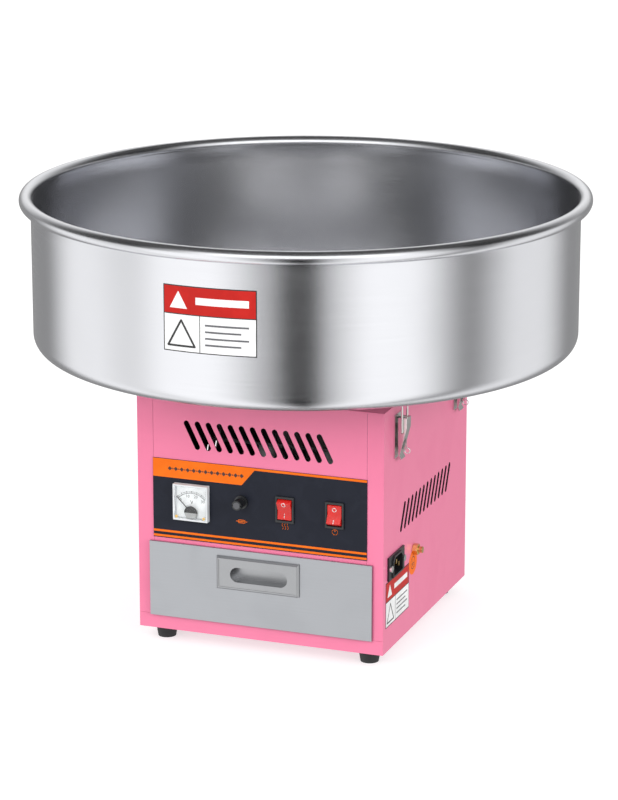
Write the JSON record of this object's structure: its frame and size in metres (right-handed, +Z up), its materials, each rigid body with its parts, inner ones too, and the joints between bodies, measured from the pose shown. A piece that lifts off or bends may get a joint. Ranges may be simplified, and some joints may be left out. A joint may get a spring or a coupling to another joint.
{
  "type": "cotton candy machine",
  "caption": "Countertop cotton candy machine: wide round bowl with a rolled rim latched over a square sheet-metal cabinet with a spinning head, control panel and drawer.",
  "frame": {"origin": "on the floor under the bowl's axis, at the middle of the cabinet", "axes": "+Z up along the spinning head's axis, -Y towards the control panel and drawer, +X towards the mains inlet"},
  "size_m": [0.5199, 0.52, 0.4072],
  "materials": {
    "pink_paint": "smooth gloss powder coat",
    "bowl_steel": "satin, spun",
    "drawer_steel": "satin, fine grain",
    "plated_steel": "bright zinc plate",
    "motor_steel": "plain",
    "aluminium": "turned",
    "cast_alloy": "cast",
    "foot_rubber": "matt",
    "seal_rubber": "matt",
    "black_plastic": "fine texture",
    "overlay_film": "satin printed film",
    "rocker_red": "gloss",
    "meter_white": "gloss",
    "dial_card": "printed card",
    "needle_black": "matt",
    "clear_window": "clear",
    "brass": "turned",
    "carbon": "sintered",
    "phenolic": "moulded",
    "element": "oxidised sheath"
  },
  "bodies": {
    "chassis": {"base_tray": "pink_paint", "left_side_panel": "pink_paint", "right_side_panel": "pink_paint", "front_panel": "pink_paint", "rear_panel": "pink_paint", "top_plate": "pink_paint", "control_overlay": "overlay_film", "rubber_feet": "foot_rubber", "cabinet_screws": "plated_steel", "bowl": "bowl_steel", "bowl_seat_ring": "motor_steel", "bowl_seal": "seal_rubber", "bowl_keepers": "plated_steel", "drawer_runners": "motor_steel", "voltmeter_case": "meter_white", "voltmeter_dial": "dial_card", "voltmeter_window": "clear_window", "fuse_holder": "black_plastic", "heat_switch_body": "black_plastic", "power_switch_body": "black_plastic", "inlet_body": "black_plastic", "inlet_pins": "brass", "earth_stud": "brass", "latch_bases": "plated_steel", "brush_holder": "phenolic", "carbon_brushes": "carbon", "motor_case": "motor_steel", "motor_stator": "motor_steel", "motor_end_bells": "cast_alloy", "motor_bearings": "plated_steel", "motor_plate": "motor_steel", "motor_standoffs": "plated_steel", "terminal_block": "phenolic", "motor_capacitor": "aluminium"},
    "drawer": {"drawer_front": "drawer_steel", "drawer_box": "drawer_steel", "drawer_handle": "drawer_steel"},
    "spinner": {"drive_shaft": "motor_steel", "motor_rotor": "motor_steel", "slip_ring_bush": "phenolic", "slip_rings": "brass", "head_dish": "aluminium", "slotted_band": "aluminium", "heating_coil": "element", "head_cover": "aluminium", "head_screws": "plated_steel"},
    "heat_rocker": {"heat_rocker": "rocker_red"},
    "power_rocker": {"power_rocker": "rocker_red"},
    "meter_needle": {"voltmeter_needle": "needle_black"},
    "fuse_cap": {"fuse_cap": "black_plastic", "glass_fuse": "clear_window"},
    "earth_nut": {"earth_nut": "brass"},
    "lever_right_front": {"latch_lever_right_front": "plated_steel"},
    "loop_right_front": {"latch_loop_right_front": "plated_steel"},
    "lever_right_rear": {"latch_lever_right_rear": "plated_steel"},
    "loop_right_rear": {"latch_loop_right_rear": "plated_steel"},
    "lever_left_front": {"latch_lever_left_front": "plated_steel"},
    "loop_left_front": {"latch_loop_left_front": "plated_steel"},
    "lever_left_rear": {"latch_lever_left_rear": "plated_steel"},
    "loop_left_rear": {"latch_loop_left_rear": "plated_steel"}
  },
  "joints": [
    {"name": "drawer_slide", "type": "slide", "parent": "chassis", "child": "drawer", "axis": [0, -1, 0], "range_m": [0, 0.17]},
    {"name": "head_spin", "type": "hinge", "parent": "chassis", "child": "spinner", "pos_m": [0, 0, 0.15], "axis": [0, 0, 1], "continuous": true},
    {"name": "heat_switch", "type": "hinge", "parent": "chassis", "child": "heat_rocker", "pos_m": [0.0252, -0.1193, 0.1403], "axis": [1, 0, 0], "range_deg": [-24, 0]},
    {"name": "power_switch", "type": "hinge", "parent": "chassis", "child": "power_rocker", "pos_m": [0.0726, -0.1193, 0.1403], "axis": [1, 0, 0], "range_deg": [0, 24]},
    {"name": "needle_swing", "type": "hinge", "parent": "chassis", "child": "meter_needle", "pos_m": [-0.0645, -0.1227, 0.1283], "axis": [0, 1, 0], "range_deg": [0, 90]},
    {"name": "fuse_cap_turn", "type": "hinge", "parent": "chassis", "child": "fuse_cap", "pos_m": [-0.0166, -0.1237, 0.143], "axis": [0, -1, 0], "range_deg": [0, 45]},
    {"name": "earth_nut_turn", "type": "hinge", "parent": "chassis", "child": "earth_nut", "pos_m": [0.1182, -0.036, 0.088], "axis": [1, 0, 0], "continuous": true},
    {"name": "lever_right_front_open", "type": "hinge", "parent": "chassis", "child": "lever_right_front", "pos_m": [0.125, -0.085, 0.224], "axis": [0, -1, 0], "range_deg": [0, 95]},
    {"name": "loop_right_front_swing", "type": "hinge", "parent": "lever_right_front", "child": "loop_right_front", "pos_m": [0.125, -0.085, 0.214], "axis": [0, -1, 0], "range_deg": [-80, 0]},
    {"name": "lever_right_rear_open", "type": "hinge", "parent": "chassis", "child": "lever_right_rear", "pos_m": [0.125, 0.085, 0.224], "axis": [0, -1, 0], "range_deg": [0, 95]},
    {"name": "loop_right_rear_swing", "type": "hinge", "parent": "lever_right_rear", "child": "loop_right_rear", "pos_m": [0.125, 0.085, 0.214], "axis": [0, -1, 0], "range_deg": [-80, 0]},
    {"name": "lever_left_front_open", "type": "hinge", "parent": "chassis", "child": "lever_left_front", "pos_m": [-0.125, -0.085, 0.224], "axis": [0, 1, 0], "range_deg": [0, 95]},
    {"name": "loop_left_front_swing", "type": "hinge", "parent": "lever_left_front", "child": "loop_left_front", "pos_m": [-0.125, -0.085, 0.214], "axis": [0, 1, 0], "range_deg": [-80, 0]},
    {"name": "lever_left_rear_open", "type": "hinge", "parent": "chassis", "child": "lever_left_rear", "pos_m": [-0.125, 0.085, 0.224], "axis": [0, 1, 0], "range_deg": [0, 95]},
    {"name": "loop_left_rear_swing", "type": "hinge", "parent": "lever_left_rear", "child": "loop_left_rear", "pos_m": [-0.125, 0.085, 0.214], "axis": [0, 1, 0], "range_deg": [-80, 0]}
  ],
  "couplings": [
    {"joint": "loop_right_front_swing", "follows": "lever_right_front_open", "ratio": -0.84},
    {"joint": "loop_right_rear_swing", "follows": "lever_right_rear_open", "ratio": -0.84},
    {"joint": "loop_left_front_swing", "follows": "lever_left_front_open", "ratio": -0.84},
    {"joint": "loop_left_rear_swing", "follows": "lever_left_rear_open", "ratio": -0.84}
  ]
}
